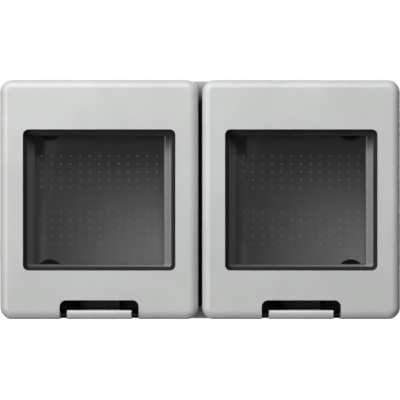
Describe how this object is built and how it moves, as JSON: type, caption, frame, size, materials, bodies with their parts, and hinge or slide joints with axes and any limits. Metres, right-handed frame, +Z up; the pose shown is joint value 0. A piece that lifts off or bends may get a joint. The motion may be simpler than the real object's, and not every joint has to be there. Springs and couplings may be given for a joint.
{
  "type": "weatherproof rocker wall switch",
  "caption": "Surface-mounting weatherproof rocker wall switch with spring-latched, top-hinged lids and soft windows that the rockers are pressed through.",
  "frame": {"origin": "centre of the flat back face that lies on the wall", "axes": "+Z up, -Y out of the wall towards the person using the switch, +X to that person's right"},
  "size_m": [0.138, 0.062, 0.0826],
  "materials": {
    "housing": "fine satin light grey",
    "latch": "satin, a little lighter than the housing",
    "seal": "matt black",
    "membrane": "smoked, see-through, satin",
    "frame": "matt black",
    "key": "satin light grey",
    "mechanism": "matt off-white",
    "carrier": "matt off-white",
    "grommet": "matt grey",
    "dark_steel": "blackened",
    "steel": "zinc plated",
    "brass": "plain"
  },
  "bodies": {
    "housing": {"back_box": "housing", "box_seal": "seal", "front_cover": "housing", "lid_seal": "seal", "cover_screw_1": "dark_steel", "cover_screw_2": "dark_steel", "cover_screw_3": "dark_steel", "cover_screw_4": "dark_steel", "top_grommet_left": "grommet", "bottom_grommet_left": "grommet", "mechanism_body_left": "mechanism", "common_terminal_left": "brass", "upper_terminal_left": "brass", "lower_terminal_left": "brass", "latch_pin_left": "dark_steel", "latch_spring_left": "steel", "terminal_screw_left_1": "steel", "terminal_screw_left_2": "steel", "terminal_screw_left_3": "steel", "top_grommet_right": "grommet", "bottom_grommet_right": "grommet", "mechanism_body_right": "mechanism", "common_terminal_right": "brass", "upper_terminal_right": "brass", "lower_terminal_right": "brass", "latch_pin_right": "dark_steel", "latch_spring_right": "steel", "terminal_screw_right_1": "steel", "terminal_screw_right_2": "steel", "terminal_screw_right_3": "steel"},
    "lid_left": {"lid_left": "housing", "membrane_left": "membrane", "membrane_frame_left": "frame", "hinge_pin_left": "steel"},
    "latch_left": {"latch_lever_left": "latch"},
    "rocker_left": {"rocker_key_left": "key", "rocker_carrier_left": "carrier", "plunger_left": "steel", "plunger_spring_left": "steel"},
    "contact_left": {"moving_contact_left": "brass"},
    "lid_right": {"lid_right": "housing", "membrane_right": "membrane", "membrane_frame_right": "frame", "hinge_pin_right": "steel"},
    "latch_right": {"latch_lever_right": "latch"},
    "rocker_right": {"rocker_key_right": "key", "rocker_carrier_right": "carrier", "plunger_right": "steel", "plunger_spring_right": "steel"},
    "contact_right": {"moving_contact_right": "brass"}
  },
  "joints": [
    {"name": "lid_left_hinge", "type": "hinge", "parent": "housing", "child": "lid_left", "pos_m": [-0.03485, -0.0503, 0.0363], "axis": [-1, 0, 0], "range_deg": [0, 100]},
    {"name": "latch_left_hinge", "type": "hinge", "parent": "housing", "child": "latch_left", "pos_m": [-0.03485, -0.0452, -0.03965], "axis": [1, 0, 0], "range_deg": [0, 8], "stiffness_Nm_per_rad": 0.05, "springref_deg": -11.46},
    {"name": "rocker_left_axle", "type": "hinge", "parent": "housing", "child": "rocker_left", "pos_m": [-0.03485, -0.046, -0.0001], "axis": [1, 0, 0], "range_deg": [0, 8]},
    {"name": "contact_left_pivot", "type": "hinge", "parent": "housing", "child": "contact_left", "pos_m": [-0.03485, -0.0328, -0.0001], "axis": [1, 0, 0], "range_deg": [-12, 0]},
    {"name": "lid_right_hinge", "type": "hinge", "parent": "housing", "child": "lid_right", "pos_m": [0.03485, -0.0503, 0.0363], "axis": [-1, 0, 0], "range_deg": [0, 100]},
    {"name": "latch_right_hinge", "type": "hinge", "parent": "housing", "child": "latch_right", "pos_m": [0.03485, -0.0452, -0.03965], "axis": [1, 0, 0], "range_deg": [0, 8], "stiffness_Nm_per_rad": 0.05, "springref_deg": -11.46},
    {"name": "rocker_right_axle", "type": "hinge", "parent": "housing", "child": "rocker_right", "pos_m": [0.03485, -0.046, -0.0001], "axis": [1, 0, 0], "range_deg": [0, 8]},
    {"name": "contact_right_pivot", "type": "hinge", "parent": "housing", "child": "contact_right", "pos_m": [0.03485, -0.0328, -0.0001], "axis": [1, 0, 0], "range_deg": [-12, 0]}
  ],
  "couplings": [
    {"joint": "contact_left_pivot", "follows": "rocker_left_axle", "ratio": -1.5},
    {"joint": "contact_right_pivot", "follows": "rocker_right_axle", "ratio": -1.5}
  ]
}
